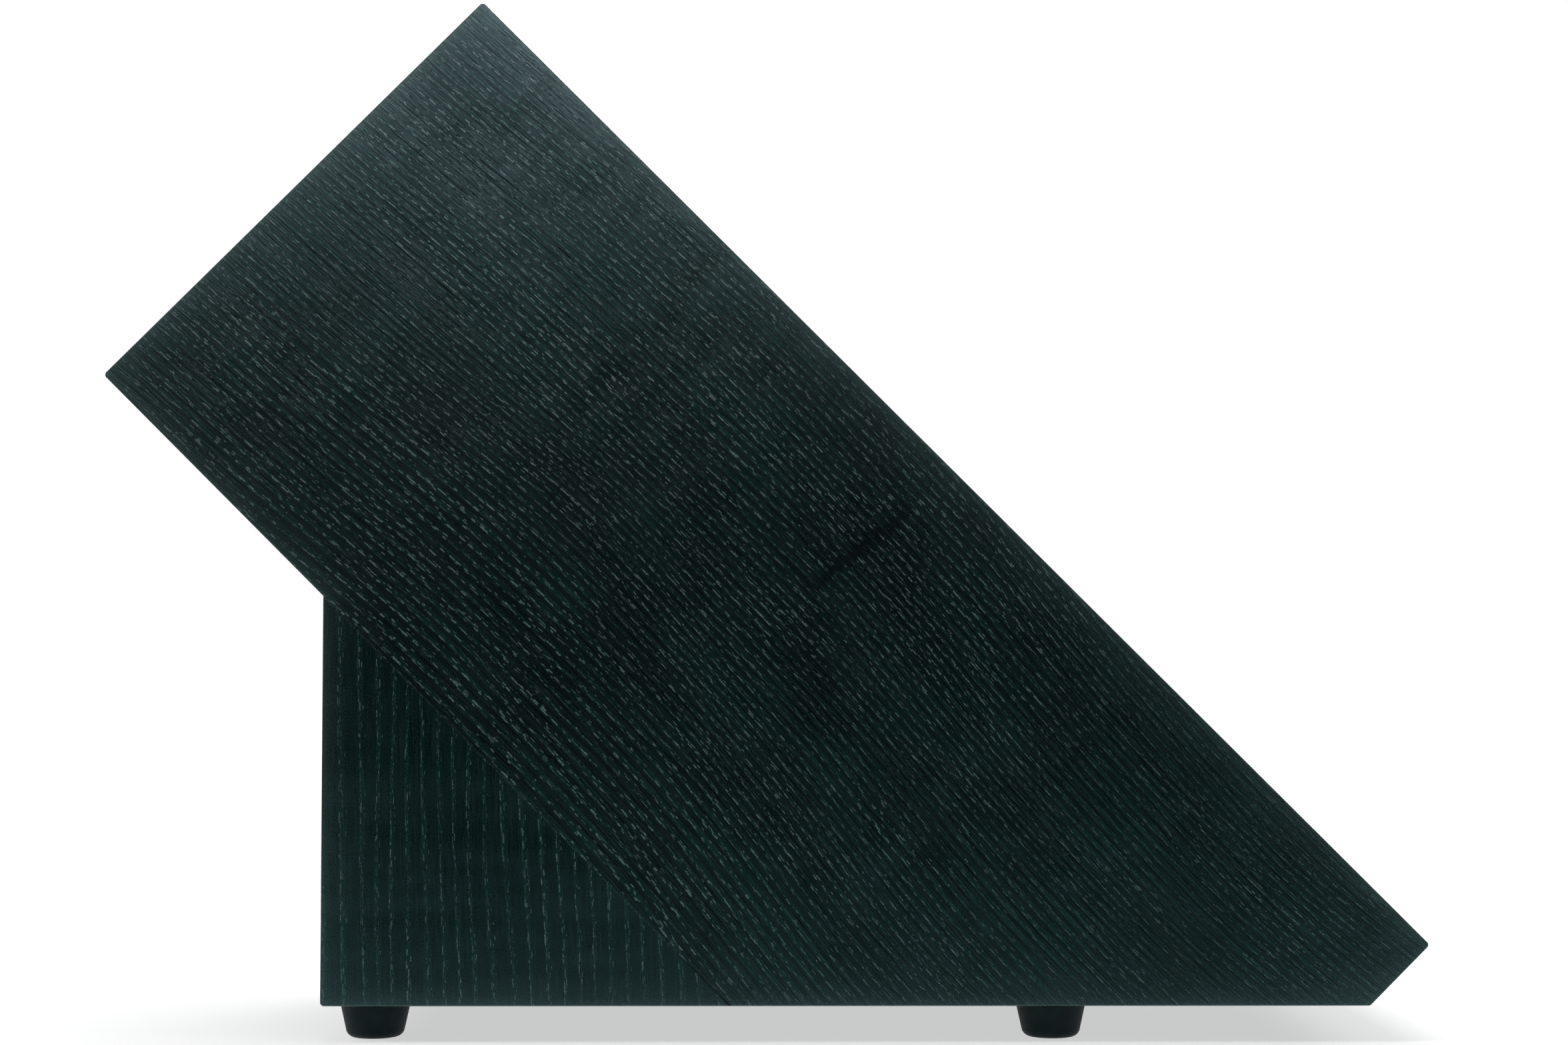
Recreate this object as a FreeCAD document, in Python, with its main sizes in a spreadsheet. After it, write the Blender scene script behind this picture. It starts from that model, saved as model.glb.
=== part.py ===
import FreeCAD, Part
import os
import re
import Sketcher

# A slanted knife block, empty. A slab of boards and spacer strips is glued face to face, with the
# gaps between the strips left as blade slots. It leans on a wedge, and the two stand on four feet.
#
# Row frame: +X runs from the slotted front end to the tail, +Y to the left of a person who faces
# the slots, +Z up. The origin is on the table, under the middle of the block.
#
# Slab frame, in which the wooden pieces are drawn: X runs down the slots from the front end, Y is
# the height above the slab's underside, and Z points to the right side of the block, row -Y.

# --------------------------------------------------------------------------- driving dimensions
# Millimetres and degrees. Each becomes a cell of the sheet, under its own alias.
DIMENSIONS = {
    "slope_angle": 45.0,
    "slab_height": 120.0,
    "slab_length": 300.6,
    "nose_height": 141.2,
    "wedge_setback": 49.8,
    "cheek_width": 16.0,
    "divider_width": 12.0,
    "blade_gap": 4.5,
    "tool_gap": 16.0,
    "corner_radius": 0.9,
    "arris_radius": 0.4,
    "mouth_easing": 0.8,
    "dowel_radius": 4.0,
    "dowel_length": 36.0,
    "dowel_chamfer": 0.8,
    "dowel_end_room": 1.0,
    "upper_dowel_run": 42.0,
    "lower_dowel_run": 88.0,
    "foot_height": 8.0,
    "foot_radius": 8.0,
    "foot_draft": 12.5,
    "foot_edge_radius": 2.0,
    "foot_rim_radius": 0.5,
    "foot_bore_radius": 3.0,
    "foot_side_inset": 11.0,
    "front_foot_inset": 10.9,
    "rear_foot_inset": 70.3,
    "washer_radius": 5.2,
    "washer_thickness": 1.0,
    "washer_hole_radius": 1.7,
    "washer_height": 4.0,
    "screw_radius": 1.5,
    "screw_length": 17.0,
    "screw_tip": 3.0,
    "screw_head_radius": 2.7,
    "screw_head_height": 2.0,
    "screw_head_rounding": 0.9,
    "recess_reach": 1.5,
    "recess_half_width": 0.4,
    "recess_depth": 1.2,
    "pilot_end_room": 0.5,
}

# Each slot: where it starts and ends above the slab's underside, and how deep it runs.
SLOTS = {
    "utility": (14.0, 44.0, 165.0),
    "chef": (56.0, 106.0, 215.0),
    "paring": (16.0, 40.0, 115.0),
    "bread": (60.0, 97.0, 235.0),
    "boning": (14.0, 43.0, 160.0),
    "carving": (58.0, 96.0, 225.0),
    "shears": (14.0, 62.0, 120.0),
    "steel": (82.0, 98.0, 240.0),
}
for slot, (low, high, depth) in SLOTS.items():
    DIMENSIONS[f"{slot}_low"] = low
    DIMENSIONS[f"{slot}_high"] = high
    DIMENSIONS[f"{slot}_depth"] = depth

# The slab from the right side to the left: boards, and layers of spacer strips between them.
STACK = [
    ("right_cheek", "cheek_width"),
    ("chef_layer", "blade_gap"),
    ("right_divider", "divider_width"),
    ("bread_layer", "blade_gap"),
    ("middle_divider", "divider_width"),
    ("carving_layer", "blade_gap"),
    ("left_divider", "divider_width"),
    ("tool_layer", "tool_gap"),
    ("left_cheek", "cheek_width"),
]
# The lower and the upper slot of each layer.
LAYER_SLOTS = {
    "chef_layer": ("utility", "chef"),
    "bread_layer": ("paring", "bread"),
    "carving_layer": ("boning", "carving"),
    "tool_layer": ("shears", "steel"),
}

# --------------------------------------------------------------------------- derived dimensions
STACK_WIDTH = "(" + " + ".join(width for _, width in STACK) + ")"
WEDGE_BOARD_WIDTH = f"({STACK_WIDTH} / 3)"
# Slab frame: the wedge's toe, where the underside meets the base, and the wedge's heel.
TOE = "(nose_height / sin(slope_angle))"
HEEL = "(wedge_setback / cos(slope_angle))"
WEDGE_BACK = "(nose_height - wedge_setback * tan(slope_angle))"
# Slab frame: the height at which the base meets the tail's end face.
TAIL_LOW = f"((slab_length - {TOE}) * tan(slope_angle))"
# Row frame: the slab frame's origin, at the lower corner of the front end.
HALF_RUN = "((slab_height * sin(slope_angle) + slab_length * cos(slope_angle)) / 2)"
NOSE_X = f"(0 - {HALF_RUN})"
NOSE_Z = "(foot_height + nose_height)"
# Row frame: the feet's and dowels' places.
FRONT_FOOT_X = f"({NOSE_X} + wedge_setback + front_foot_inset)"
REAR_FOOT_X = f"({NOSE_X} + {TOE} * cos(slope_angle) + {TAIL_LOW} / sin(slope_angle) - rear_foot_inset)"
RIGHT_FOOT_Y = f"(foot_side_inset - {STACK_WIDTH} / 2)"
LEFT_FOOT_Y = f"({STACK_WIDTH} / 2 - foot_side_inset)"
PILOT_DEPTH = "(washer_height + screw_length + pilot_end_room - foot_height)"

TOLERANCE = 1e-4

doc = FreeCAD.newDocument("knife_block")
sheet = doc.addObject("Spreadsheet::Sheet", "sizes")
for row, (alias, value) in enumerate(DIMENSIONS.items(), start=1):
    sheet.set(f"A{row}", alias.replace("_", " "))
    sheet.set(f"B{row}", str(value))
    sheet.setAlias(f"B{row}", alias)
doc.recompute()

ALIAS_WORD = re.compile(r"\b(" + "|".join(DIMENSIONS) + r")\b")
pieces = []


# --------------------------------------------------------------------------- helpers
def expression(formula):
    """A formula in the sheet's aliases, as an expression that names the sheet."""
    return ALIAS_WORD.sub(r"sizes.\1", formula)


def bind(item, attribute, formula):
    item.setExpression(attribute, expression(formula))


def number(formula):
    return float(sheet.evalExpression(expression(formula)))


def place(item, x, y, z, pitch="0", roll="0"):
    bind(item, "Placement", f"placement(vector({x}; {y}; {z}); rotation(0; {pitch}; {roll}))")


def place_in_slab(item, along, up, y, roll="90"):
    """Puts an item's origin at a point of the slab frame, on the row's plane Y = y."""
    x = f"{NOSE_X} + ({along}) * cos(slope_angle) + ({up}) * sin(slope_angle)"
    z = f"{NOSE_Z} - ({along}) * sin(slope_angle) + ({up}) * cos(slope_angle)"
    place(item, x, y, z, pitch="slope_angle", roll=roll)


def keep(item, label):
    """Names a finished piece of the object."""
    item.Label = label
    pieces.append(item)
    return item


def origin_plane(body, role):
    return next(plane for plane in body.Origin.OriginFeatures if plane.Role == role)


def polygon_sketch(body, name, role, corners):
    """A sketch of a closed polygon whose every corner is bound to a pair of formulas."""
    sketch = body.newObject("Sketcher::SketchObject", name)
    sketch.AttachmentSupport = (origin_plane(body, role), [""])
    sketch.MapMode = "FlatFace"
    points = [FreeCAD.Vector(number(x), number(y), 0) for x, y in corners]
    for start, end in zip(points, points[1:] + points[:1]):
        sketch.addGeometry(Part.LineSegment(start, end))
    for index, corner in enumerate(corners):
        following = (index + 1) % len(corners)
        sketch.addConstraint(Sketcher.Constraint("Coincident", index, 2, following, 1))
        for axis, kind in enumerate(("DistanceX", "DistanceY")):
            distance = Sketcher.Constraint(kind, -1, 1, index, 1, points[index][axis])
            datum = sketch.addConstraint(distance)
            bind(sketch, f"Constraints[{datum}]", corner[axis])
    return sketch


def padded(name, corners, thickness):
    """A body with a polygon on its XY plane, padded along Z."""
    body = doc.addObject("PartDesign::Body", f"{name}_body")
    sketch = polygon_sketch(body, f"{name}_outline", "XY_Plane", corners)
    pad = body.newObject("PartDesign::Pad", f"{name}_pad")
    pad.Profile = sketch
    bind(pad, "Length", thickness)
    doc.recompute()
    return body


def revolved(name, profile):
    """A body turned about its Z axis from a polygon of radii and heights."""
    body = doc.addObject("PartDesign::Body", f"{name}_body")
    sketch = polygon_sketch(body, f"{name}_profile", "XZ_Plane", profile)
    turn = body.newObject("PartDesign::Revolution", f"{name}_turn")
    turn.Profile = sketch
    turn.ReferenceAxis = (sketch, ["V_Axis"])
    turn.Angle = 360
    doc.recompute()
    return body


def fillet(body, name, radius, chosen):
    """Rounds the edges of a body's last feature that the test picks."""
    last = body.Tip
    names = [f"Edge{index}" for index, edge in enumerate(last.Shape.Edges, start=1) if chosen(edge)]
    if not names:
        raise ValueError(f"{name} finds no edge to round")
    rounding = body.newObject("PartDesign::Fillet", name)
    rounding.Base = (last, names)
    bind(rounding, "Radius", radius)
    doc.recompute()
    return rounding


def slab_box(name, left_face, thickness):
    """The slab's length and height, as a block between two planes of the stack."""
    item = doc.addObject("Part::Box", name)
    bind(item, "Length", "slab_length")
    bind(item, "Width", "slab_height")
    bind(item, "Height", thickness)
    place_in_slab(item, "0", "0", left_face)
    return item


def cylinder(name, radius, height):
    item = doc.addObject("Part::Cylinder", name)
    bind(item, "Radius", radius)
    bind(item, "Height", height)
    return item


def combine(kind, name, base, tool):
    item = doc.addObject(kind, name)
    item.Base = base
    item.Tool = tool
    doc.recompute()
    return item


def drilled(item, name, tools):
    for index, tool in enumerate(tools, start=1):
        item = combine("Part::Cut", f"{name}_drilled_{index}", item, tool)
    return item


def on_line(corner):
    """Picks the edges that run along Z through a corner of an outline."""
    x, y = number(corner[0]), number(corner[1])

    def chosen(edge):
        return all(abs(v.X - x) < TOLERANCE and abs(v.Y - y) < TOLERANCE for v in edge.Vertexes)

    return chosen


def on_level(height):
    """Picks the edges that lie at one height of a body."""
    z = number(height)

    def chosen(edge):
        return all(abs(v.Z - z) < TOLERANCE for v in edge.Vertexes)

    return chosen


def round_corners(body, name, corners):
    """Rounds those of the block's outer corners that a piece has."""
    tests = [on_line(corner) for corner in corners]
    if tests:
        fillet(body, f"{name}_corners", "corner_radius", lambda edge: any(t(edge) for t in tests))


# --------------------------------------------------------------------------- slab frame outlines
NOSE = ("0", "0")
APEX = ("0", "slab_height")
TAIL_TOP = ("slab_length", "slab_height")
TAIL_BOTTOM = ("slab_length", TAIL_LOW)
TOE_POINT = (TOE, "0")
HEEL_POINT = (HEEL, "0")
WEDGE_FOOT = (
    f"{HEEL} + {WEDGE_BACK} * sin(slope_angle)",
    f"0 - {WEDGE_BACK} * cos(slope_angle)",
)


def base_point(up):
    """Where the base meets the line at a height above the underside."""
    return (f"{TOE} + ({up}) / tan(slope_angle)", up)


def strip_outline(start, low, high):
    """The slab between two heights, from a distance down the slots to the base and the tail."""
    tail_low = number(TAIL_LOW)
    corners = [(start, low)]
    if number(low) < tail_low:
        corners.append(base_point(low))
        if number(high) > tail_low:
            corners.append(TAIL_BOTTOM)
        else:
            corners.append(base_point(high))
    else:
        corners.append(("slab_length", low))
    if number(high) > tail_low:
        corners.append(("slab_length", high))
    corners.append((start, high))
    return corners


def outer_corners(outline):
    """Which corners of an outline are outer corners of the whole block."""
    outer = [(number(x), number(y)) for x, y in (NOSE, APEX, TAIL_TOP, TAIL_BOTTOM, WEDGE_FOOT)]
    found = []
    for corner in outline:
        x, y = number(corner[0]), number(corner[1])
        if any(abs(x - u) < TOLERANCE and abs(y - v) < TOLERANCE for u, v in outer):
            found.append(corner)
    return found


def ease_mouth(body, slot, near, far):
    """Breaks the edges of a slot's mouth at 45 degrees, where it lies between two planes Z."""
    cut = body.newObject("PartDesign::SubtractiveWedge", f"{body.Name}_{slot}_mouth")
    # The wedge's own Y axis points down the slot, and its X axis down from the slab's top.
    bind(cut, "Placement", "placement(vector(0; 0; 0); rotation(0 - 90; 0; 0))")
    bounds = {
        "Ymin": "0",
        "Ymax": "mouth_easing",
        "Xmin": f"0 - {slot}_high - mouth_easing",
        "Xmax": f"mouth_easing - {slot}_low",
        "Zmin": f"{near} - mouth_easing",
        "Zmax": f"{far} + mouth_easing",
        "X2min": f"0 - {slot}_high",
        "X2max": f"0 - {slot}_low",
        "Z2min": near,
        "Z2max": far,
    }
    for bound, formula in bounds.items():
        setattr(cut, bound, number(formula))
    for bound, formula in bounds.items():
        bind(cut, bound, formula)
    before = body.Shape.Volume
    doc.recompute()
    if body.Shape.Volume >= before:
        raise ValueError(f"{cut.Name} cuts nothing")


# --------------------------------------------------------------------------- where the layers lie
# The row's plane Y of each board's left face, where its body has Z = 0.
LEFT_FACE = {}
running = f"0 - {STACK_WIDTH} / 2"
for board, width in STACK:
    running = f"{running} + {width}"
    LEFT_FACE[board] = running
WIDTHS = dict(STACK)
ORDER = [board for board, _ in STACK]


def neighbour_mouths(board):
    """The slots on both sides of a divider, each with the planes Z it lies between."""
    right = ORDER[ORDER.index(board) - 1]
    left = ORDER[ORDER.index(board) + 1]
    thickness = WIDTHS[board]
    mouths = [(slot, thickness, f"{thickness} + {WIDTHS[right]}") for slot in LAYER_SLOTS[right]]
    mouths += [(slot, f"0 - {WIDTHS[left]}", "0") for slot in LAYER_SLOTS[left]]
    return mouths


# --------------------------------------------------------------------------- drills
def pilot_hole(name, x, y):
    drill = cylinder(f"{name}_pilot", "screw_radius", PILOT_DEPTH)
    place(drill, x, y, "foot_height")
    return drill


def dowel_hole(name, run, y):
    """A hole square to the wedge's joint, a little longer than its dowel."""
    drill = cylinder(f"{name}_hole", "dowel_radius", "dowel_length + 2 * dowel_end_room")
    bottom = "0 - dowel_length / 2 - dowel_end_room"
    place_in_slab(drill, f"{HEEL} + {run}", bottom, y, roll="0")
    return drill


DOWEL_Y = {
    "upper_dowel": f"{LEFT_FACE['right_divider']} - divider_width / 2",
    "lower_dowel": f"{LEFT_FACE['left_divider']} - divider_width / 2",
}
DOWEL_RUN = {"upper_dowel": "upper_dowel_run", "lower_dowel": "lower_dowel_run"}
dowel_holes = {name: dowel_hole(name, DOWEL_RUN[name], y) for name, y in DOWEL_Y.items()}

FEET = {
    "front_right": (FRONT_FOOT_X, RIGHT_FOOT_Y),
    "front_left": (FRONT_FOOT_X, LEFT_FOOT_Y),
    "rear_right": (REAR_FOOT_X, RIGHT_FOOT_Y),
    "rear_left": (REAR_FOOT_X, LEFT_FOOT_Y),
}
pilot_holes = {corner: pilot_hole(corner, x, y) for corner, (x, y) in FEET.items()}

# --------------------------------------------------------------------------- outer boards
# Each side of the block is sanded as a whole, cheek and wedge board together, and then parted
# along the joint, so that the rounded outer edges run on from one to the other.
BLOCK_OUTLINE = [NOSE, HEEL_POINT, WEDGE_FOOT, TAIL_BOTTOM, TAIL_TOP, APEX]


def side_blank(side, left_face, outer_level, mouths):
    body = padded(f"{side}_side", BLOCK_OUTLINE, WEDGE_BOARD_WIDTH)
    round_corners(body, f"{side}_side", outer_corners(BLOCK_OUTLINE))
    fillet(body, f"{side}_side_arris", "arris_radius", on_level(outer_level))
    for mouth in mouths:
        ease_mouth(body, *mouth)
    place_in_slab(body, "0", "0", left_face)
    return body


def part_side(side, blank, left_face, wedge_holes):
    """Parts a sanded side into its cheek and its wedge board, and drills both."""
    cheek_face = LEFT_FACE[f"{side}_cheek"]
    cheek_room = slab_box(f"{side}_cheek_room", cheek_face, "cheek_width")
    cheek = combine("Part::Common", f"{side}_cheek_sawn", blank, cheek_room)
    keep(drilled(cheek, f"{side}_cheek", [pilot_holes[f"rear_{side}"]]), f"{side}_cheek")
    slab_room = slab_box(f"{side}_slab_room", left_face, WEDGE_BOARD_WIDTH)
    board = combine("Part::Cut", f"{side}_wedge_board_sawn", blank, slab_room)
    holes = [pilot_holes[f"front_{side}"]] + wedge_holes
    keep(drilled(board, f"{side}_wedge_board", holes), f"{side}_wedge_board")


RIGHT_WEDGE_FACE = f"{WEDGE_BOARD_WIDTH} - {STACK_WIDTH} / 2"
RIGHT_CHEEK_LEVEL = f"{WEDGE_BOARD_WIDTH} - cheek_width"
right_mouths = [
    (slot, f"{RIGHT_CHEEK_LEVEL} - blade_gap", RIGHT_CHEEK_LEVEL) for slot in LAYER_SLOTS["chef_layer"]
]
right_side = side_blank("right", RIGHT_WEDGE_FACE, WEDGE_BOARD_WIDTH, right_mouths)
part_side("right", right_side, RIGHT_WEDGE_FACE, [dowel_holes["upper_dowel"]])

LEFT_WEDGE_FACE = f"{STACK_WIDTH} / 2"
left_mouths = [(slot, "cheek_width", "cheek_width + tool_gap") for slot in LAYER_SLOTS["tool_layer"]]
left_side = side_blank("left", LEFT_WEDGE_FACE, "0", left_mouths)
part_side("left", left_side, LEFT_WEDGE_FACE, [])


# --------------------------------------------------------------------------- inner boards
def inner_board(name, outline, thickness, mouths, left_face, holes):
    """A board, strip or stop between the cheeks."""
    body = padded(name, outline, thickness)
    round_corners(body, name, outer_corners(outline))
    for mouth in mouths:
        ease_mouth(body, *mouth)
    place_in_slab(body, "0", "0", left_face)
    doc.recompute()
    return keep(drilled(body, name, holes), name)


DIVIDER_HOLES = {
    "right_divider": [dowel_holes["upper_dowel"]],
    "middle_divider": [],
    "left_divider": [dowel_holes["lower_dowel"]],
}
SLAB_OUTLINE = [NOSE, TOE_POINT, TAIL_BOTTOM, TAIL_TOP, APEX]
for divider, holes in DIVIDER_HOLES.items():
    mouths = neighbour_mouths(divider)
    inner_board(divider, SLAB_OUTLINE, WIDTHS[divider], mouths, LEFT_FACE[divider], holes)

inner_board(
    "middle_wedge_board",
    [HEEL_POINT, WEDGE_FOOT, TOE_POINT],
    WEDGE_BOARD_WIDTH,
    [],
    f"{WEDGE_BOARD_WIDTH} / 2",
    [dowel_holes["lower_dowel"]],
)

for layer, (lower, upper) in LAYER_SLOTS.items():
    gap = WIDTHS[layer]
    strips = {
        "lower": ("0", f"{lower}_low", [lower]),
        "middle": (f"{lower}_high", f"{upper}_low", [lower, upper]),
        "upper": (f"{upper}_high", "slab_height", [upper]),
    }
    for level, (low, high, slots) in strips.items():
        outline = strip_outline("0", low, high)
        mouths = [(slot, "0", gap) for slot in slots]
        inner_board(f"{layer}_{level}_strip", outline, gap, mouths, LEFT_FACE[layer], [])
    for slot in (lower, upper):
        outline = strip_outline(f"{slot}_depth", f"{slot}_low", f"{slot}_high")
        inner_board(f"{slot}_slot_stop", outline, gap, [], LEFT_FACE[layer], [])

# --------------------------------------------------------------------------- dowels
for name, y in DOWEL_Y.items():
    profile = [
        ("0", "0"),
        ("dowel_radius - dowel_chamfer", "0"),
        ("dowel_radius", "dowel_chamfer"),
        ("dowel_radius", "dowel_length - dowel_chamfer"),
        ("dowel_radius - dowel_chamfer", "dowel_length"),
        ("0", "dowel_length"),
    ]
    dowel = revolved(name, profile)
    place_in_slab(dowel, f"{HEEL} + {DOWEL_RUN[name]}", "0 - dowel_length / 2", y, roll="0")
    keep(dowel, name)

# --------------------------------------------------------------------------- feet, washers and screws
FOOT_BOTTOM_RADIUS = "(foot_radius - foot_height * tan(foot_draft))"
WASHER_TOP = "(washer_height + washer_thickness)"


def foot(name):
    """A tapered rubber foot, bored for the screw's head and moulded around the washer."""
    profile = [
        ("foot_bore_radius", "0"),
        (FOOT_BOTTOM_RADIUS, "0"),
        ("foot_radius", "foot_height"),
        ("washer_hole_radius", "foot_height"),
        ("washer_hole_radius", WASHER_TOP),
        ("washer_radius", WASHER_TOP),
        ("washer_radius", "washer_height"),
        ("foot_bore_radius", "washer_height"),
    ]
    body = revolved(name, profile)
    bottom = number(FOOT_BOTTOM_RADIUS)
    rim = number("foot_radius")

    def circle_of(radius, level):
        return lambda edge: on_level(level)(edge) and abs(edge.Curve.Radius - radius) < TOLERANCE

    fillet(body, f"{name}_edge", "foot_edge_radius", circle_of(bottom, "0"))
    fillet(body, f"{name}_rim", "foot_rim_radius", circle_of(rim, "foot_height"))
    return body


def washer(name):
    profile = [
        ("washer_hole_radius", "0"),
        ("washer_radius", "0"),
        ("washer_radius", "washer_thickness"),
        ("washer_hole_radius", "washer_thickness"),
    ]
    return revolved(name, profile)


def screw(name):
    """A wood screw with a rounded head and a cross recess, driven upwards."""
    profile = [
        ("0", "0"),
        ("screw_head_radius", "0"),
        ("screw_head_radius", "screw_head_height"),
        ("screw_radius", "screw_head_height"),
        ("screw_radius", "screw_head_height + screw_length - screw_tip"),
        ("0", "screw_head_height + screw_length"),
    ]
    body = revolved(name, profile)

    def head_edge(edge):
        radius = getattr(edge.Curve, "Radius", 0)
        return on_level("0")(edge) and abs(radius - number("screw_head_radius")) < TOLERANCE

    fillet(body, f"{name}_head", "screw_head_rounding", head_edge)
    arm = [
        ("recess_reach", "0 - recess_half_width"),
        ("recess_reach", "recess_half_width"),
        ("recess_half_width", "recess_half_width"),
    ]
    cross = []
    for _ in range(4):
        cross += arm
        arm = [(f"0 - ({y})", x) for x, y in arm]
    recess = body.newObject("PartDesign::Pocket", f"{name}_recess")
    recess.Profile = polygon_sketch(body, f"{name}_recess_outline", "XY_Plane", cross)
    recess.Reversed = True
    bind(recess, "Length", "recess_depth")
    before = body.Shape.Volume
    doc.recompute()
    if body.Shape.Volume >= before:
        raise ValueError(f"{recess.Name} cuts nothing")
    return body


for corner, (x, y) in FEET.items():
    for make, kind, z in (
        (foot, "foot", "0"),
        (washer, "washer", "washer_height"),
        (screw, "screw", "washer_height - screw_head_height"),
    ):
        piece = make(f"{corner}_{kind}")
        place(piece, x, y, z)
        keep(piece, f"{corner}_{kind}")

# --------------------------------------------------------------------------- checks and export
doc.recompute()
for item in doc.Objects:
    if "Invalid" in item.State or "Error" in item.State:
        raise RuntimeError(f"{item.Name} failed to compute: {item.State}")
for piece in pieces:
    shape = piece.Shape
    if shape.isNull() or not shape.isValid() or len(shape.Solids) != 1:
        raise RuntimeError(f"{piece.Label} is not one valid solid")

os.makedirs("parts", exist_ok=True)
for piece in pieces:
    piece.Shape.exportStep(f"parts/{piece.Label}.step")
    print(f"{piece.Label:28s} {piece.Shape.Volume:12.1f} mm3")
print(f"{len(pieces)} pieces")
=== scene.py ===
import math

import bpy
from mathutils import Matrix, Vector

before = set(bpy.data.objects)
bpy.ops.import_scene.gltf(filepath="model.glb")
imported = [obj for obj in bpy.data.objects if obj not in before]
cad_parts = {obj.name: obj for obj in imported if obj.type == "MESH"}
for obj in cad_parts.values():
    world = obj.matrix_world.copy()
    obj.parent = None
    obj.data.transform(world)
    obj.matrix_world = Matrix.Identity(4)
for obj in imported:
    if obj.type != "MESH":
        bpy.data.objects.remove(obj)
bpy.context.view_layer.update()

MM = 0.001
SLOPE = math.radians(45)
BLACK = (0.0, 0.0, 0.0, 1.0)
WHITE = (1.0, 1.0, 1.0, 1.0)


# --------------------------------------------------------------------------- directions and faces
# Unit vectors: down the slots, up from the slab's underside, and along the three axes.
DOWN_SLOT = Vector((math.cos(SLOPE), 0, -math.sin(SLOPE)))
UP_SLAB = Vector((math.sin(SLOPE), 0, math.cos(SLOPE)))
LENGTHWISE = Vector((1, 0, 0))
ACROSS = Vector((0, 1, 0))
UPRIGHT = Vector((0, 0, 1))


def reach(node, direction):
    """How far a CAD piece reaches in a direction from the origin, in metres."""
    return max(vertex.co.dot(direction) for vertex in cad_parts[node].data.vertices)


# The faces of the whole block, as (outward direction, distance from the origin).
FRONT_END = (-DOWN_SLOT, reach("right_cheek", -DOWN_SLOT))
TOP = (UP_SLAB, reach("right_cheek", UP_SLAB))
TAIL = (DOWN_SLOT, reach("right_cheek", DOWN_SLOT))
UNDERSIDE = (-UP_SLAB, reach("right_cheek", -UP_SLAB))
WEDGE_FRONT = (-LENGTHWISE, reach("right_wedge_board", -LENGTHWISE))
BASE = (-UPRIGHT, reach("right_wedge_board", -UPRIGHT))
RIGHT_SIDE = (-ACROSS, reach("right_cheek", -ACROSS))
LEFT_SIDE = (ACROSS, reach("left_cheek", ACROSS))


def meeting(*faces):
    """The point where faces at right angles to each other meet."""
    return sum((direction * distance for direction, distance in faces), Vector())


# The raised corner of the right side. The grain of every board is measured from it.
NOSE = meeting(FRONT_END, UNDERSIDE, RIGHT_SIDE)


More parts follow.
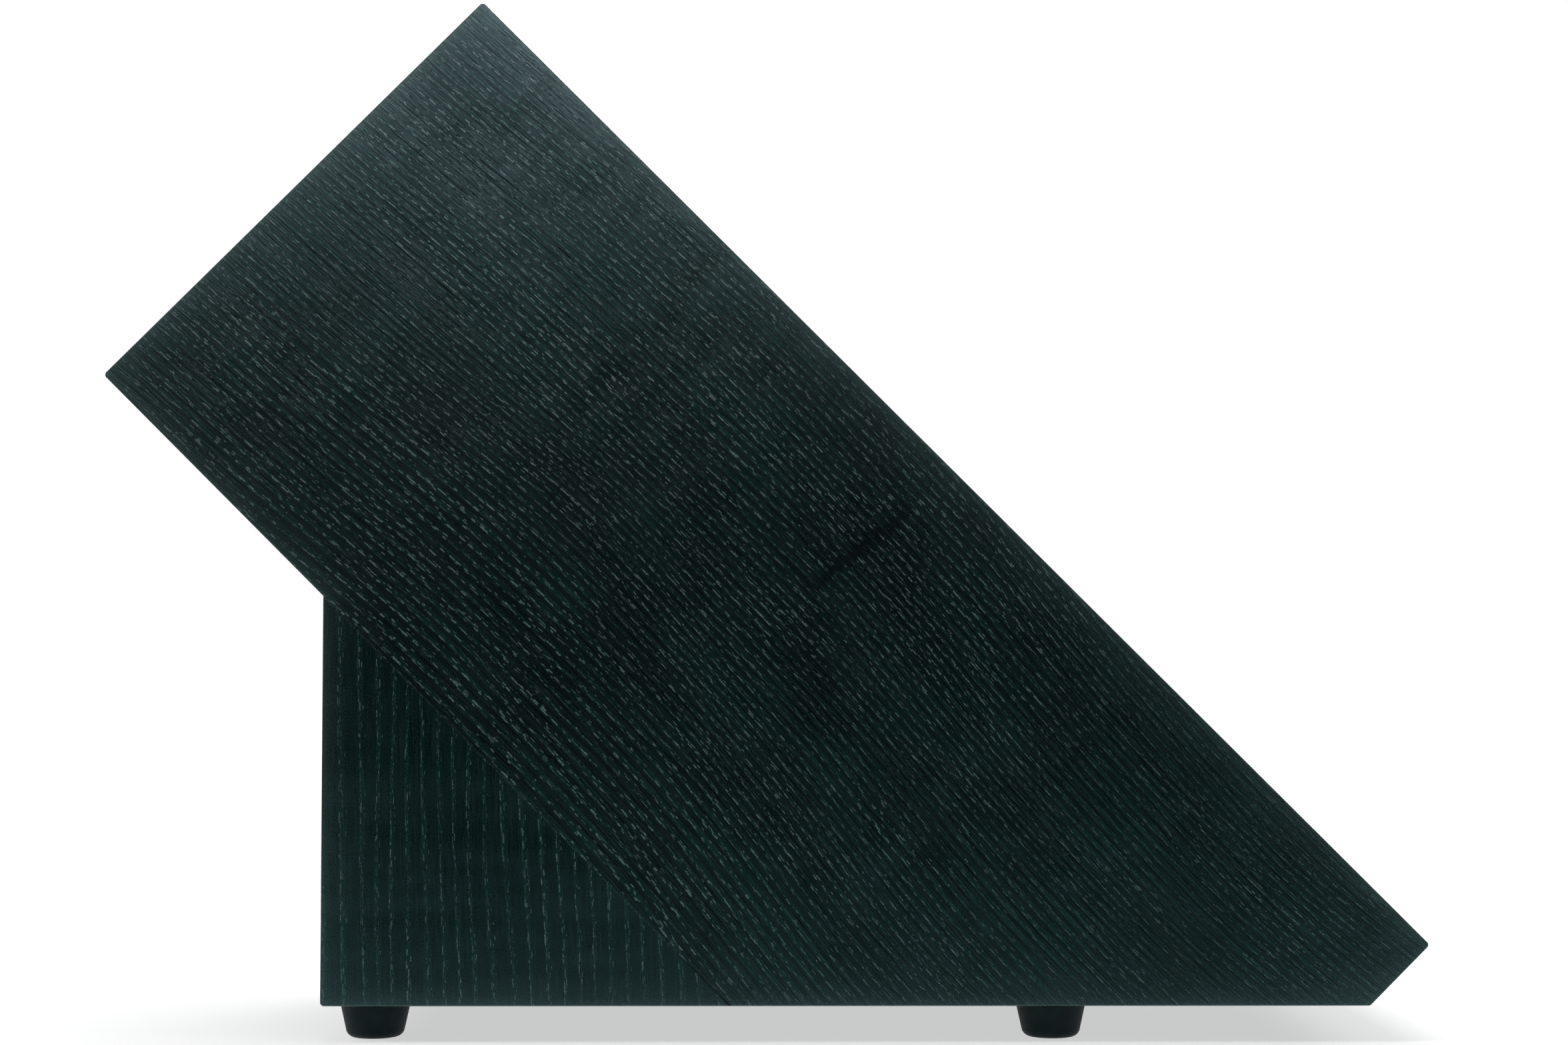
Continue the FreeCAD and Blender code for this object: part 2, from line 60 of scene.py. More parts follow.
# --------------------------------------------------------------------------- node helpers
class Graph:
    """A node tree, with a short call for each kind of node that the materials share."""

    def __init__(self, tree):
        self.tree = tree

    def node(self, kind, **settings):
        made = self.tree.nodes.new(kind)
        for name, value in settings.items():
            setattr(made, name, value)
        return made

    def feed(self, socket, value):
        """Link a socket to another one, or set it to a constant."""
        if isinstance(value, bpy.types.NodeSocket):
            self.tree.links.new(value, socket)
        else:
            socket.default_value = value

    def feed_all(self, sockets, values):
        for socket, value in zip(sockets, values):
            self.feed(socket, value)

    def calculate(self, operation, *values, clamp=False):
        made = self.node("ShaderNodeMath", operation=operation, use_clamp=clamp)
        self.feed_all(made.inputs, values)
        return made.outputs[0]

    def plus(self, one, other):
        return self.calculate("ADD", one, other)

    def minus(self, one, other):
        return self.calculate("SUBTRACT", one, other)

    def times(self, one, other):
        return self.calculate("MULTIPLY", one, other)

    def over(self, one, other):
        return self.calculate("DIVIDE", one, other)

    def size(self, value):
        return self.calculate("ABSOLUTE", value)

    def floor(self, value):
        return self.calculate("FLOOR", value)

    def vector(self, operation, *values):
        made = self.node("ShaderNodeVectorMath", operation=operation)
        self.feed_all(made.inputs, values)
        return made.outputs["Vector"]

    def dot(self, one, other):
        made = self.node("ShaderNodeVectorMath", operation="DOT_PRODUCT")
        self.feed_all(made.inputs, (one, other))
        return made.outputs["Value"]

    def combine(self, x, y, z):
        made = self.node("ShaderNodeCombineXYZ")
        self.feed_all(made.inputs, (x, y, z))
        return made.outputs[0]

    def object_place(self):
        """A point's place on the object, in metres."""
        return self.node("ShaderNodeTexCoord").outputs["Object"]

    def place_in_mm(self):
        """A point's place on the object, in millimetres."""
        return self.vector("MULTIPLY", self.object_place(), (1 / MM,) * 3)

    def noise(self, position, scale=1.0, detail=2.0, roughness=0.5):
        """Smooth noise, mostly between 0.3 and 0.7."""
        made = self.node("ShaderNodeTexNoise", noise_dimensions="3D")
        self.feed(made.inputs["Vector"], position)
        self.feed(made.inputs["Scale"], scale)
        self.feed(made.inputs["Detail"], detail)
        self.feed(made.inputs["Roughness"], roughness)
        return made.outputs["Fac"]

    def stretched_noise(self, position, repeats, detail=2.0, roughness=0.5):
        """Smooth noise that repeats so many times a millimetre in each direction."""
        return self.noise(self.vector("MULTIPLY", position, repeats), detail=detail, roughness=roughness)

    def chances(self, position):
        """Three numbers from 0 to 1 that are the same for the same position and otherwise random."""
        made = self.node("ShaderNodeTexWhiteNoise", noise_dimensions="3D")
        self.feed(made.inputs["Vector"], position)
        parts = self.node("ShaderNodeSeparateColor")
        self.feed(parts.inputs[0], made.outputs["Color"])
        return parts.outputs[0], parts.outputs[1], parts.outputs[2]

    def steps(self, value, low, high, start=0.0, end=1.0):
        """A smooth step from start to end as the value goes from low to high."""
        made = self.node("ShaderNodeMapRange", interpolation_type="SMOOTHSTEP")
        self.feed(made.inputs["Value"], value)
        self.feed(made.inputs["From Min"], low)
        self.feed(made.inputs["From Max"], high)
        self.feed(made.inputs["To Min"], start)
        self.feed(made.inputs["To Max"], end)
        return made.outputs["Result"]

    def blend(self, factor, one, other):
        """The first colour where the factor is 0 and the second where it is 1."""
        made = self.node("ShaderNodeMix", data_type="RGBA", blend_type="MIX")
        self.feed(made.inputs["Factor"], factor)
        self.feed(made.inputs["A"], one)
        self.feed(made.inputs["B"], other)
        return made.outputs["Result"]

    def bump(self, height, strength, distance):
        made = self.node("ShaderNodeBump")
        made.inputs["Strength"].default_value = strength
        made.inputs["Distance"].default_value = distance
        self.feed(made.inputs["Height"], height)
        return made.outputs["Normal"]


def colour(r, g, b):
    return (r, g, b, 1.0)


def new_material(name):
    """A material with its graph and its shader."""
    material = bpy.data.materials.new(name)
    material.use_nodes = True
    return material, Graph(material.node_tree), material.node_tree.nodes["Principled BSDF"]


# --------------------------------------------------------------------------- stained ash
STAIN = (0.0004, 0.0050, 0.0044)
PORE_DUST = colour(0.210, 0.325, 0.325)
# Pale colour of the worn edges, which also paints a highlight along them, and of the glue specks at the
# wedge's joint.
EDGE_DUST_AND_HIGHLIGHT = colour(0.090, 0.150, 0.150)

# Worn edges with a painted highlight along them, as (how many mm the wear and highlight take to fade, how
# strong they are at the edge).
SOFT_WEAR_AND_HIGHLIGHT = (6.0, 0.17)
SHARP_WEAR_AND_HIGHLIGHT = (1.1, 0.30)

# The dark smear's middle, down the slots and up from the underside in metres, and the way that it runs.
SMEAR_DOWN = 0.148
SMEAR_UP = 0.092
SMEAR_ANGLE = math.radians(39)
SMEAR_DIRECTION = Vector((math.cos(SMEAR_ANGLE), 0, math.sin(SMEAR_ANGLE)))
SMEAR_RAGGEDNESS = 5.0
SMEAR_STRENGTH = 0.95

# The fibres bow most at this many mm from the nose, and the bow repeats after so many more.
BOW_MIDDLE = 110.0
BOW_PERIOD = 280.0

# How often each noise repeats per millimetre, along, across and through the grain.
WANDER_REPEATS = (0.008, 0.02, 0.02)
RING_REPEATS = (0.006, 0.032, 0.032)
STRENGTH_REPEATS = (0.02, 0.06, 0.06)
CRUMB_REPEATS = (2.6, 4.8, 4.8)
FIBRE_REPEATS = (0.09, 3.0, 3.0)
STREAK_REPEATS = (0.07, 1.5, 1.5)
FIGURE_REPEATS = (0.06, 0.018, 0.018)
CLOUD_REPEATS = (0.035, 0.07, 0.07)
SPECK_REPEATS = (5.0, 7.0, 7.0)

# By how many rings their unevenness moves them, and how far apart the boards are cut in the noise.
RING_UNEVENNESS = 3.0
BOARD_SPACING = 97.0

# Rows of vessels: depth into the ring, scatter about that depth, half the width of a dash and its length,
# all in mm, and a key that gives the row chances of its own.
VESSEL_ROWS = (
    dict(depth=0.45, scatter=0.40, half_width=0.15, length=3.2, key=0.0),
    dict(depth=0.60, scatter=0.80, half_width=0.12, length=2.3, key=3.1),
    dict(depth=0.85, scatter=1.30, half_width=0.10, length=1.6, key=5.7),
)
VESSEL_SPACING = 0.5
VESSEL_COVER = 0.80
FAINT_COVER = 0.04

# What each part of the pattern adds to the relief of the skin, in units of RELIEF_DEPTH.
RELIEF = {"fibres": 0.35, "crumbs": 0.5, "streaks": 1.5, "figure": 6.5, "clouds": 4.0, "vessels": -0.6}
RELIEF_DEPTH = 0.15 * MM

LACQUER_IOR = 1.33
LACQUER_TINT = colour(0.48, 0.93, 1.0)


def edge_nearness(g, fade):
    """How near a point of the block's skin is to one of its edges: 1 at an edge, fading over so many mm."""
    place = g.place_in_mm()

    def inside(face):
        """How far a point is behind a face."""
        direction, distance = face
        return g.minus(distance / MM, g.dot(place, direction))

    faces = [inside(face) for face in (FRONT_END, TOP, TAIL, BASE, RIGHT_SIDE, LEFT_SIDE)]
    # The slab's underside and the wedge's front meet in an inside corner.
    faces.append(g.calculate("MAXIMUM", inside(UNDERSIDE), inside(WEDGE_FRONT)))
    # On the skin one face is at no distance and adds 1, so what is left over tells of a second face.
    total = -1.0
    for depth in faces:
        total = g.plus(g.calculate("EXPONENT", g.times(depth, -1 / fade)), total)
    return g.calculate("MAXIMUM", total, 0.0, clamp=True)


def edge_wear_and_highlight(g, crumbs):
    """How much paler the edges are, partly from stain worn off and partly a painted highlight: a soft and a
    sharp band along every edge, broken up by crumbs.
    """
    paler_edges = g.plus(*(g.times(edge_nearness(g, fade), strength) for fade, strength in (SOFT_WEAR_AND_HIGHLIGHT, SHARP_WEAR_AND_HIGHLIGHT)))
    return g.times(paler_edges, g.steps(crumbs, 0.3, 0.7, 0.5, 1.5))


def wedge_joint(g, crumbs):
    """The joint between slab and wedge: pale specks of glue along it, and a hairline gap near the toe."""
    place = g.place_in_mm()
    direction, distance = UNDERSIDE
    off = g.size(g.minus(g.dot(place, direction), distance / MM))
    height = g.minus(g.dot(place, UPRIGHT), -BASE[1] / MM)
    near = g.steps(off, 0.10, 0.40, 1.0, 0.0)
    gap = g.times(near, g.steps(height, 8.5, 13.0, 0.95, 0.0))
    specks = g.times(near, g.steps(crumbs, 0.48, 0.66, 0.0, 0.55))
    return g.times(specks, g.steps(height, 8.0, 14.0)), gap


def dark_smear(g):
    """A short dark smear that runs across the grain near the middle of the right cheek."""
    middle = NOSE + DOWN_SLOT * SMEAR_DOWN + UP_SLAB * SMEAR_UP
    place = g.vector("SUBTRACT", g.object_place(), middle)
    place = g.vector("MULTIPLY", place, (1 / MM,) * 3)
    lengthways = g.dot(place, SMEAR_DIRECTION)
    sideways = g.dot(place, SMEAR_DIRECTION.cross(ACROSS))
    ragged = g.noise(place, scale=0.45, detail=3.0)
    sideways = g.plus(sideways, g.times(g.minus(ragged, 0.5), SMEAR_RAGGEDNESS))
    along = g.steps(g.size(lengthways), 9.0, 18.0, 1.0, 0.0)
    aside = g.steps(g.size(sideways), 0.4, 2.4, 1.0, 0.0)
    return g.times(g.times(along, aside), SMEAR_STRENGTH)


def bent_grain(g, given):
    """A point's place along, across and through the fibres, which bow and wander a little."""
    place = g.vector("SUBTRACT", g.place_in_mm(), given["Origin"])
    along = g.dot(place, given["Along"])
    across = g.dot(place, given["Across"])
    through = g.dot(place, given["Through"])
    bend = g.calculate("COSINE", g.times(g.minus(along, BOW_MIDDLE), 2 * math.pi / BOW_PERIOD))
    across = g.minus(across, g.times(bend, given["Bow"]))
    slow_along, slow_across, slow_through = WANDER_REPEATS
    slow = g.combine(
        g.times(along, slow_along),
        g.times(across, slow_across),
        g.plus(g.times(through, slow_through), given["Seed"]),
    )
    wander = g.times(g.minus(g.noise(slow, detail=1.0), 0.5), given["Wander"])
    return along, g.plus(across, wander), through


def growth_rings(g, given, across, through, grain):
    """The number of the ring that a point is in, and its place from the ring's start and round the pith."""
    aside = g.minus(across, given["Pith Across"])
    deep = g.minus(through, given["Pith Through"])
    radius = g.calculate("SQRT", g.plus(g.times(aside, aside), g.times(deep, deep)))
    round_about = g.times(g.calculate("ARCTAN2", deep, aside), radius)
    uneven = g.stretched_noise(grain, RING_REPEATS)
    rings = g.plus(g.over(radius, given["Ring Width"]), g.times(uneven, RING_UNEVENNESS))
    number = g.floor(rings)
    from_start = g.times(g.minus(rings, number), given["Ring Width"])
    return {"number": number, "from_start": from_start, "round_about": round_about}


def vessel_row(g, seed, along, ring, depth, scatter, half_width, length, key):
    """A row of vessels at a depth into each ring, as dashes scattered to its sides."""
    sheet = g.plus(g.times(ring["number"], 7.13), g.plus(seed, key))
    ring_lot = g.chances(g.combine(sheet, key, seed))[0]
    steps_along = g.plus(g.over(along, length), g.times(ring_lot, 31.0))
    cell = g.floor(steps_along)
    tube = g.floor(g.over(ring["round_about"], VESSEL_SPACING))
    shift, extent, lot = g.chances(g.combine(cell, sheet, tube))
    middle = g.plus(g.times(g.minus(shift, 0.5), scatter), depth)
    off = g.size(g.minus(ring["from_start"], middle))
    width = g.times(g.plus(g.times(lot, 0.7), 0.6), half_width)
    row = g.steps(g.over(off, width), 0.2, 1.0, 1.0, 0.0)
    from_middle = g.size(g.minus(g.minus(steps_along, cell), 0.5))
    half_length = g.plus(g.times(extent, 0.34), 0.15)
    dash = g.steps(g.over(from_middle, half_length), 0.6, 1.0, 1.0, 0.0)
    chalk = g.plus(g.times(g.calculate("POWER", lot, 2.0), 1.1), 0.15)
    return g.times(row, g.times(dash, chalk))


def vessels_in(g, given, along, ring, grain, grit, end_grain):
    """How much pale dust the open vessels hold: more in patches, and less towards the tail."""
    vessels = 0.0
    for row in VESSEL_ROWS:
        vessels = g.calculate("MAXIMUM", vessel_row(g, given["Seed"], along, ring, **row), vessels)
    strength = g.stretched_noise(grain, STRENGTH_REPEATS)
    vessels = g.times(vessels, g.steps(strength, 0.3, 0.7, 0.55, 1.25))
    vessels = g.times(vessels, g.steps(along, 120.0, 260.0, 1.1, 0.42))
    vessels = g.times(vessels, end_grain)
    return g.times(g.times(vessels, grit), given["Open Pores"])


def stained_ground(g, given, noises, from_start, end_grain):
    """The stained wood between the vessels, paler in the early part of a ring."""
    early = g.times(g.steps(from_start, 0.0, 0.35), g.steps(from_start, 0.7, 1.5, 1.0, 0.0))
    shade = g.times(
        g.steps(noises["fibres"], 0.34, 0.70, 0.55, 1.7),
        g.steps(noises["figure"], 0.35, 0.65, 0.85, 1.15),
    )
    shade = g.times(shade, g.steps(noises["clouds"], 0.3, 0.7, 0.65, 1.35))
    shade = g.times(shade, g.steps(early, 0.0, 1.0, 0.45, 2.3))
    shade = g.plus(shade, g.minus(given["Paleness"], 1.0))
    shade = g.times(shade, g.steps(noises["crumbs"], 0.34, 0.66, 0.1, 2.0))
    ground = g.node("ShaderNodeVectorMath", operation="SCALE")
    ground.inputs[0].default_value = STAIN
    g.feed(ground.inputs["Scale"], g.times(shade, end_grain))
    return ground.outputs[0]


def ash_pattern():
    """A node group: ring-porous ash as a solid, in a board's own directions, in millimetres."""
    tree = bpy.data.node_groups.new("ash_pattern", "ShaderNodeTree")
    sockets = {
        ("INPUT", "NodeSocketVector"): ("Along", "Across", "Through", "Origin"),
        ("INPUT", "NodeSocketFloat"): (
            "Pith Across", "Pith Through", "Ring Width", "Bow", "Wander", "Open Pores", "Paleness", "Seed",
        ),
        ("OUTPUT", "NodeSocketColor"): ("Color",),
        ("OUTPUT", "NodeSocketFloat"): ("Roughness", "Height"),
    }
    for (side, kind), names in sockets.items():
        for name in names:
            tree.interface.new_socket(name=name, in_out=side, socket_type=kind)
    g = Graph(tree)
    given = g.node("NodeGroupInput").outputs
    seed = given["Seed"]

    # End grain soaks up more stain, so there it is darker and its vessels hold less dust.
    facing = g.dot(g.node("ShaderNodeTexCoord").outputs["Normal"], given["Along"])
    end_grain = g.steps(g.size(facing), 0.55, 0.95, 1.0, 0.7)

    along, across, through = bent_grain(g, given)
    board_lot = g.combine(g.times(seed, BOARD_SPACING), seed, 0.0)
    grain = g.vector("ADD", g.combine(along, across, through), board_lot)
    ring = growth_rings(g, given, across, through, grain)
    noises = {
        "fibres": g.stretched_noise(grain, FIBRE_REPEATS, detail=3.0, roughness=0.7),
        "crumbs": g.stretched_noise(grain, CRUMB_REPEATS, roughness=0.7),
        "streaks": g.stretched_noise(grain, STREAK_REPEATS, roughness=0.6),
        "figure": g.stretched_noise(grain, FIGURE_REPEATS),
        "clouds": g.stretched_noise(grain, CLOUD_REPEATS, detail=3.0),
    }
    crumbs = noises["crumbs"]
    grit = g.steps(crumbs, 0.36, 0.64, 0.2, 1.5)
    vessels = vessels_in(g, given, along, ring, grain, grit, end_grain)

    # Stain first, then faint streaks and specks of dust, the vessels, the worn edges with their painted
    # highlight and the wedge's joint.
    tone = stained_ground(g, given, noises, ring["from_start"], end_grain)
    faint = g.times(g.steps(noises["streaks"], 0.50, 0.72, 0.0, FAINT_COVER), grit)
    specks = g.stretched_noise(grain, SPECK_REPEATS, detail=1.0)
    faint = g.plus(faint, g.steps(specks, 0.58, 0.74, 0.0, FAINT_COVER))
    tone = g.blend(faint, tone, PORE_DUST)
    tone = g.blend(g.times(vessels, VESSEL_COVER), tone, PORE_DUST)
    # Paler edges: worn stain, plus a painted highlight and a painted reflection of the backdrop along the
    # rims.
    tone = g.blend(edge_wear_and_highlight(g, crumbs), tone, EDGE_DUST_AND_HIGHLIGHT)
    glue, crack = wedge_joint(g, crumbs)
    tone = g.blend(glue, tone, EDGE_DUST_AND_HIGHLIGHT)
    tone = g.blend(crack, tone, BLACK)

    sheen = g.plus(
        g.steps(noises["fibres"], 0.34, 0.68, 0.25, 0.43),
        g.steps(noises["clouds"], 0.3, 0.7, -0.06, 0.06),
    )
    sheen = g.plus(sheen, g.steps(crumbs, 0.32, 0.68, -0.07, 0.07))
    sheen = g.plus(sheen, g.times(vessels, 0.06))

    height = 0.0
    for part, weight in RELIEF.items():
        height = g.plus(g.times(vessels if part == "vessels" else noises[part], weight), height)

    result = g.node("NodeGroupOutput").inputs
    g.feed(result["Color"], tone)
    g.feed(result["Roughness"], sheen)
    g.feed(result["Height"], height)
    return tree


ASH = ash_pattern()


def ash(
    name,
    along,
    across,
    pith,
    ring_width,
    seed,
    bow=0.0,
    wander=7.0,
    pores=1.0,
    paleness=1.0,
    smeared=False,
):
    """Stained ash whose fibres run one way, with the pith at (across, through) in mm from the nose."""
    material, g, shader = new_material(name)
    wood = g.node("ShaderNodeGroup", node_tree=ASH)
    settings = {
        "Along": along,
        "Across": across,
        "Through": ACROSS,
        "Origin": NOSE / MM,
        "Pith Across": pith[0],
        "Pith Through": pith[1],
        "Ring Width": ring_width,
        "Bow": bow,
        "Wander": wander,
        "Open Pores": pores,
        "Paleness": paleness,
        "Seed": float(seed),
    }
    for socket, value in settings.items():
        wood.inputs[socket].default_value = value
    tone = wood.outputs["Color"]
    if smeared:
        tone = g.blend(dark_smear(g), tone, BLACK)
    g.feed(shader.inputs["Base Color"], tone)
    g.feed(shader.inputs["Roughness"], wood.outputs["Roughness"])
    g.feed(shader.inputs["Normal"], g.bump(wood.outputs["Height"], strength=1.0, distance=RELIEF_DEPTH))
    shader.inputs["IOR"].default_value = LACQUER_IOR
    shader.inputs["Specular Tint"].default_value = LACQUER_TINT
    return material


# --------------------------------------------------------------------------- rubber, steel and beech
def rubber():
    """Black rubber with a fine grit and a faint grey bloom."""
    material, g, shader = new_material("foot_rubber")
    place = g.place_in_mm()
    grit = g.noise(place, scale=2.2, detail=4.0, roughness=0.65)
    bloom = g.noise(place, scale=0.25)
    tone = g.blend(g.steps(bloom, 0.3, 0.7), colour(0.0012, 0.0026, 0.0024), colour(0.0045, 0.0075, 0.0070))
    tone = g.blend(g.steps(grit, 0.55, 0.8, 0.0, 0.4), tone, colour(0.012, 0.017, 0.016))
    g.feed(shader.inputs["Base Color"], tone)
    g.feed(shader.inputs["Roughness"], g.steps(grit, 0.3, 0.7, 0.5, 0.66))
    g.feed(shader.inputs["Normal"], g.bump(grit, strength=0.35, distance=0.1 * MM))
    shader.inputs["Specular IOR Level"].default_value = 0.2
    shader.inputs["Specular Tint"].default_value = colour(0.62, 0.95, 1.0)
    return material


def plated_steel():
    """Plated steel with fine turned scratches."""
    material, g, shader = new_material("plated_steel")
    scratches = g.noise(g.vector("MULTIPLY", g.place_in_mm(), (1.0, 8.0, 1.0)), scale=1.5, detail=4.0)
    tone = g.blend(g.steps(scratches, 0.3, 0.7), colour(0.48, 0.47, 0.44), colour(0.66, 0.65, 0.61))
    g.feed(shader.inputs["Base Color"], tone)
    g.feed(shader.inputs["Roughness"], g.steps(scratches, 0.3, 0.7, 0.28, 0.42))
    shader.inputs["Metallic"].default_value = 1.0
    return material


def beech():
    """Bare beech, flecked along the dowels."""
    material, g, shader = new_material("beech_dowel")
    place = g.place_in_mm()
    along = g.times(g.dot(place, UP_SLAB), 0.2)
    flecks = g.noise(g.combine(along, g.dot(place, DOWN_SLOT), g.dot(place, ACROSS)), scale=1.4, detail=4.0)
    tone = g.blend(g.steps(flecks, 0.3, 0.7), colour(0.36, 0.22, 0.12), colour(0.58, 0.40, 0.24))
    g.feed(shader.inputs["Base Color"], tone)
    g.feed(shader.inputs["Roughness"], g.steps(flecks, 0.3, 0.7, 0.55, 0.7))
    return material


# --------------------------------------------------------------------------- dressing the CAD nodes
# The pith's place in mm, the rings' width and the fibres' bow of the boards that show a broad face.
SLAB_BOARDS = {
    "right_cheek": dict(pith=(-55, 55), ring_width=1.75, bow=3.9, smeared=True),
    "right_divider": dict(pith=(40, -85), ring_width=2.2, bow=2.0),
    "middle_divider": dict(pith=(95, 170), ring_width=2.9, bow=-3.0),
    "left_divider": dict(pith=(20, -15), ring_width=2.5, bow=1.5),
    "left_cheek": dict(pith=(55, 10), ring_width=2.9, bow=-4.0),
}
LAYERS = ("chef_layer", "bread_layer", "carving_layer", "tool_layer")
LEVELS = ("lower", "middle", "upper")
STOPS = ("utility", "chef", "paring", "bread", "boning", "carving", "shears", "steel")
WEDGE_PITHS = {"right": (-110, 70), "middle": (160, 60), "left": (-90, -60)}
# The wedge's boards stand upright but for a slight lean.
WEDGE_LEAN = math.radians(1.5)
WEDGE_GRAIN = Vector((math.sin(WEDGE_LEAN), 0, -math.cos(WEDGE_LEAN)))
WEDGE_SIDE = Vector((math.cos(WEDGE_LEAN), 0, math.sin(WEDGE_LEAN)))


def dress(node, material):
    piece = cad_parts[node]
    piece.data.materials.clear()
    piece.data.materials.append(material)


def dress_board(node, seed, along=DOWN_SLOT, across=UP_SLAB, **cut):
    dress(node, ash(f"{node}_ash", along, across, seed=seed, **cut))


def strip_cut(seed):
    """How a spacer strip lay in its tree: the pith falls on alternate sides, at five heights in turn."""
    pith = (-30 + 45 * (seed % 5), 150 - 230 * (seed % 2))
    return dict(pith=pith, ring_width=2.0 + 0.3 * (seed % 4), bow=1.0)


def stop_cut(seed):
    """How a slot's stop lay in its tree."""
    return dict(pith=(-20 + 40 * (seed % 5), -75 + 220 * (seed % 2)), ring_width=2.4)


seed = 0
for node, cut in SLAB_BOARDS.items():
    seed += 1
    dress_board(node, seed, **cut)
for layer in LAYERS:
    for level in LEVELS:
        seed += 1
        dress_board(f"{layer}_{level}_strip", seed, **strip_cut(seed))
for stop in STOPS:
    seed += 1
    dress_board(f"{stop}_slot_stop", seed, **stop_cut(seed))
for side, pith in WEDGE_PITHS.items():
    seed += 1
    dress_board(
        f"{side}_wedge_board",
        seed,
        along=WEDGE_GRAIN,
        across=WEDGE_SIDE,
        pith=pith,
        ring_width=3.6,
        wander=2.0,
        pores=0.70,
        paleness=2.5,
    )

RUBBER = rubber()
STEEL = plated_steel()
BEECH = beech()
for end in ("front", "rear"):
    for side in ("right", "left"):
        dress(f"{end}_{side}_foot", RUBBER)
        dress(f"{end}_{side}_washer", STEEL)
        dress(f"{end}_{side}_screw", STEEL)
for dowel in ("upper_dowel", "lower_dowel"):
    dress(dowel, BEECH)


# --------------------------------------------------------------------------- floor
FLOOR_RADIUS = 0.44
FLOOR_FADE = 0.18
FLOOR_GLOW = 0.57
# The sheet lies this far under the feet, so that it doesn't cut their soles.
FLOOR_GAP = 0.02 * MM
FLOOR_RINGS = 12
FLOOR_TURNS = 96


def disc_mesh(name, radius, rings, turns):
    """A flat round mesh of a fan in the middle with rings of quads about it."""
    points = [(0.0, 0.0, 0.0)]
    for ring in range(1, rings + 1):
        distance = radius * ring / rings
        for turn in range(turns):
            angle = 2 * math.pi * turn / turns
            points.append((distance * math.cos(angle), distance * math.sin(angle), 0.0))
    faces = []
    for turn in range(turns):
        following = (turn + 1) % turns
        faces.append((0, 1 + turn, 1 + following))
        for ring in range(rings - 1):
            inner = 1 + ring * turns
            outer = inner + turns
            faces.append((inner + turn, outer + turn, outer + following, inner + following))
    mesh = bpy.data.meshes.new(name)
    mesh.from_pydata(points, [], faces)
    return mesh


def paper():
    """Pale paper, lit a little from below, that fades out to its rim and can't be seen from underneath."""
    material, g, shader = new_material("paper")
    place = g.object_place()
    mottle = g.noise(place, scale=40.0, detail=3.0)
    g.feed(shader.inputs["Base Color"], g.blend(mottle, colour(0.90, 0.90, 0.90), colour(0.93, 0.93, 0.93)))
    shader.inputs["Roughness"].default_value = 0.9
    shader.inputs["Specular IOR Level"].default_value = 0.1
    shader.inputs["Emission Color"].default_value = WHITE
    shader.inputs["Emission Strength"].default_value = FLOOR_GLOW
    outward = g.node("ShaderNodeVectorMath", operation="LENGTH")
    g.feed(outward.inputs[0], place)
    faded = g.steps(outward.outputs["Value"], FLOOR_FADE, FLOOR_RADIUS, 1.0, 0.0)
    from_below = g.node("ShaderNodeNewGeometry").outputs["Backfacing"]
    g.feed(shader.inputs["Alpha"], g.times(faded, g.minus(1.0, from_below)))
    return material


floor = bpy.data.objects.new("paper_floor", disc_mesh("paper_floor", FLOOR_RADIUS, FLOOR_RINGS, FLOOR_TURNS))
floor.location.z = -FLOOR_GAP
floor.data.materials.append(paper())
bpy.context.collection.objects.link(floor)


# --------------------------------------------------------------------------- light
# The warm strip balances the teal tint of the lacquer, so its reflection is a neutral grey.
WARM = (1.0, 0.80, 0.81)
NEUTRAL = (1.0, 1.0, 1.0)
OPEN_SPREAD = 180
AMBIENT = 0.025
BACKDROP = 1.0


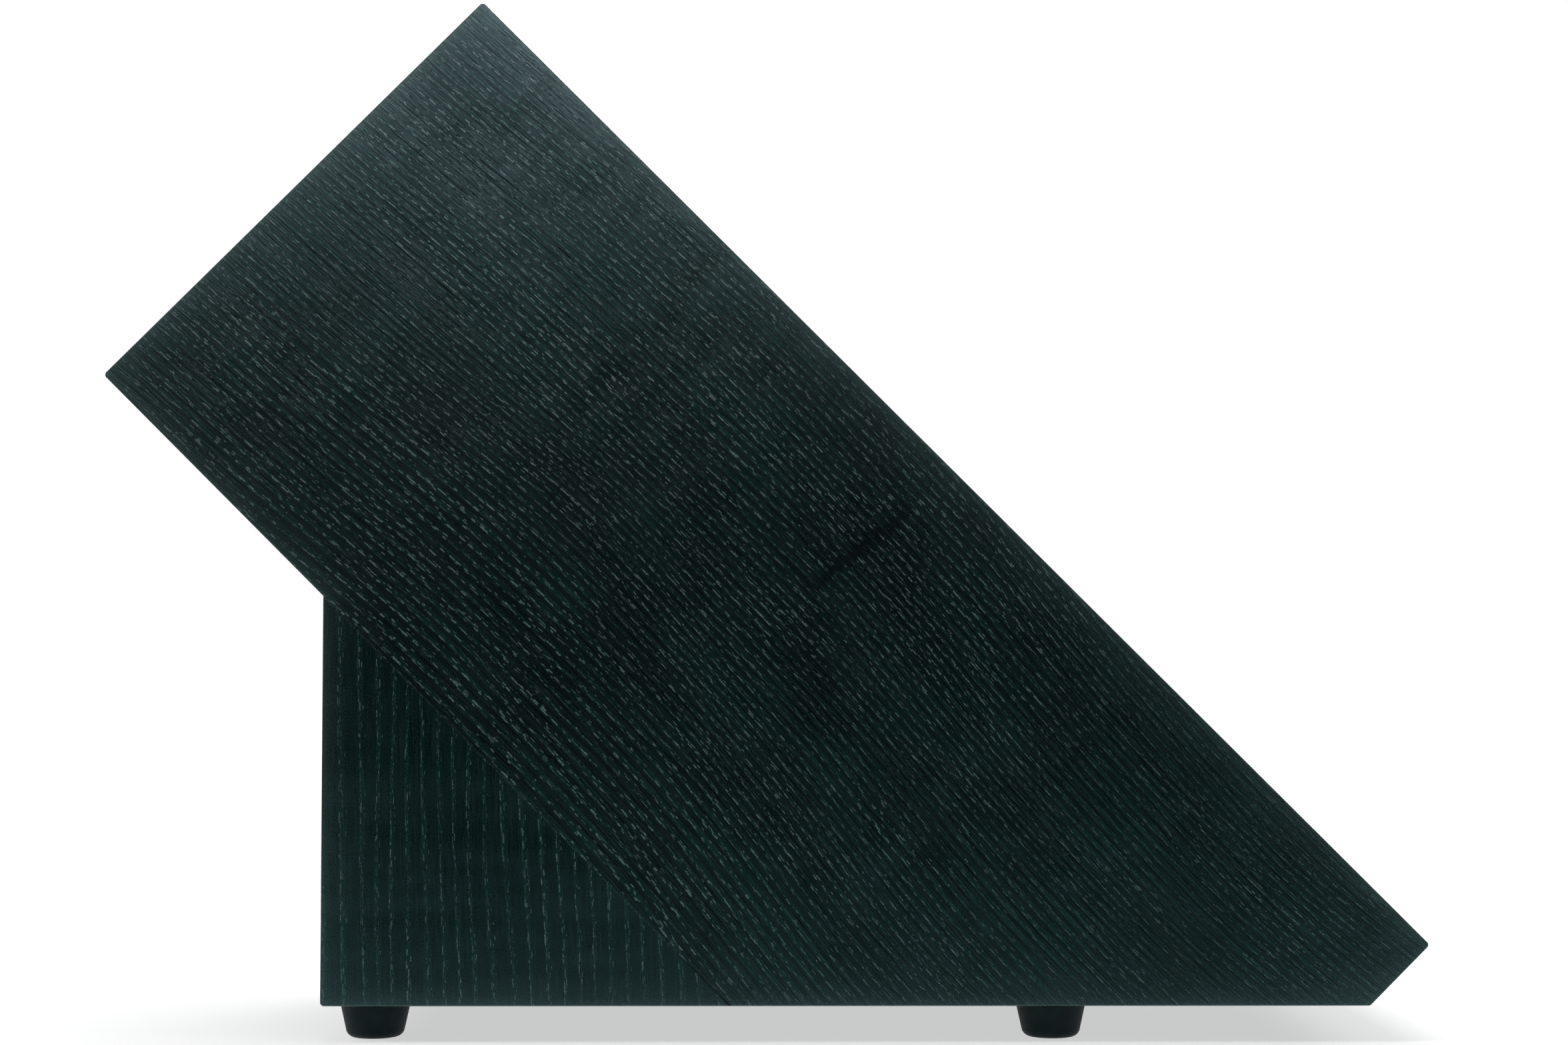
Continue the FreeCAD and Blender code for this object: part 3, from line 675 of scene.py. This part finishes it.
def softbox(name, place, target, size, power, spread=OPEN_SPREAD, tint=NEUTRAL):
    """A rectangular lamp, in metres, watts and degrees, that the camera doesn't see."""
    lamp = bpy.data.lights.new(name, "AREA")
    lamp.shape = "RECTANGLE"
    lamp.size, lamp.size_y = size
    lamp.energy = power
    lamp.spread = math.radians(spread)
    lamp.color = tint
    holder = bpy.data.objects.new(name, lamp)
    holder.location = place
    holder.rotation_euler = (Vector(target) - Vector(place)).to_track_quat("-Z", "Y").to_euler()
    holder.visible_camera = False
    bpy.context.collection.objects.link(holder)


def studio_air():
    """White behind the object for the camera, and only a faint light from all round for the rest."""
    world = bpy.data.worlds.new("studio_air")
    world.use_nodes = True
    g = Graph(world.node_tree)
    background = world.node_tree.nodes["Background"]
    background.inputs["Color"].default_value = WHITE
    seen = g.node("ShaderNodeLightPath").outputs["Is Camera Ray"]
    g.feed(background.inputs["Strength"], g.steps(seen, 0.0, 1.0, AMBIENT, BACKDROP))
    return world


softbox("strip_softbox", (0.0, -0.51, 0.45), (0.0, -0.05, 0.32), (0.9, 0.12), 1.08, spread=45, tint=WARM)
softbox("overhead_softbox", (0.0, 0.10, 1.50), (0.0, 0.10, 0.0), (1.2, 0.9), 7.0)
softbox("left_softbox", (0.2, 1.1, 0.75), (0.0, 0.05, 0.12), (0.9, 0.5), 5.0)
softbox("slot_softbox", (-1.0, -0.1, 0.75), (-0.1, 0.0, 0.18), (0.5, 0.8), 4.0)
softbox("tail_softbox", (1.1, 0.2, 0.8), (0.1, 0.0, 0.1), (0.5, 0.8), 4.0)
bpy.context.scene.world = studio_air()
bpy.context.scene.view_settings.view_transform = "Standard"


# --------------------------------------------------------------------------- camera
# The camera stands square to the right side, a little low, and looks slightly up at the block.
CAMERA_DISTANCE = 0.62
CAMERA_ASIDE = 0.0014
CAMERA_HEIGHT = 0.0858
CAMERA_UP_DEGREES = 2.78
CAMERA_RIGHT_DEGREES = 0.28
SENSOR_WIDTH_MM = 36.0
LENS_MM = 63.45

camera_data = bpy.data.cameras.new("camera")
camera_data.sensor_width = SENSOR_WIDTH_MM
camera_data.lens = LENS_MM
camera = bpy.data.objects.new("camera", camera_data)
camera.location = (CAMERA_ASIDE, -RIGHT_SIDE[1] - CAMERA_DISTANCE, CAMERA_HEIGHT)
camera.rotation_euler = (math.radians(90 + CAMERA_UP_DEGREES), 0, -math.radians(CAMERA_RIGHT_DEGREES))
bpy.context.collection.objects.link(camera)
bpy.context.scene.camera = camera
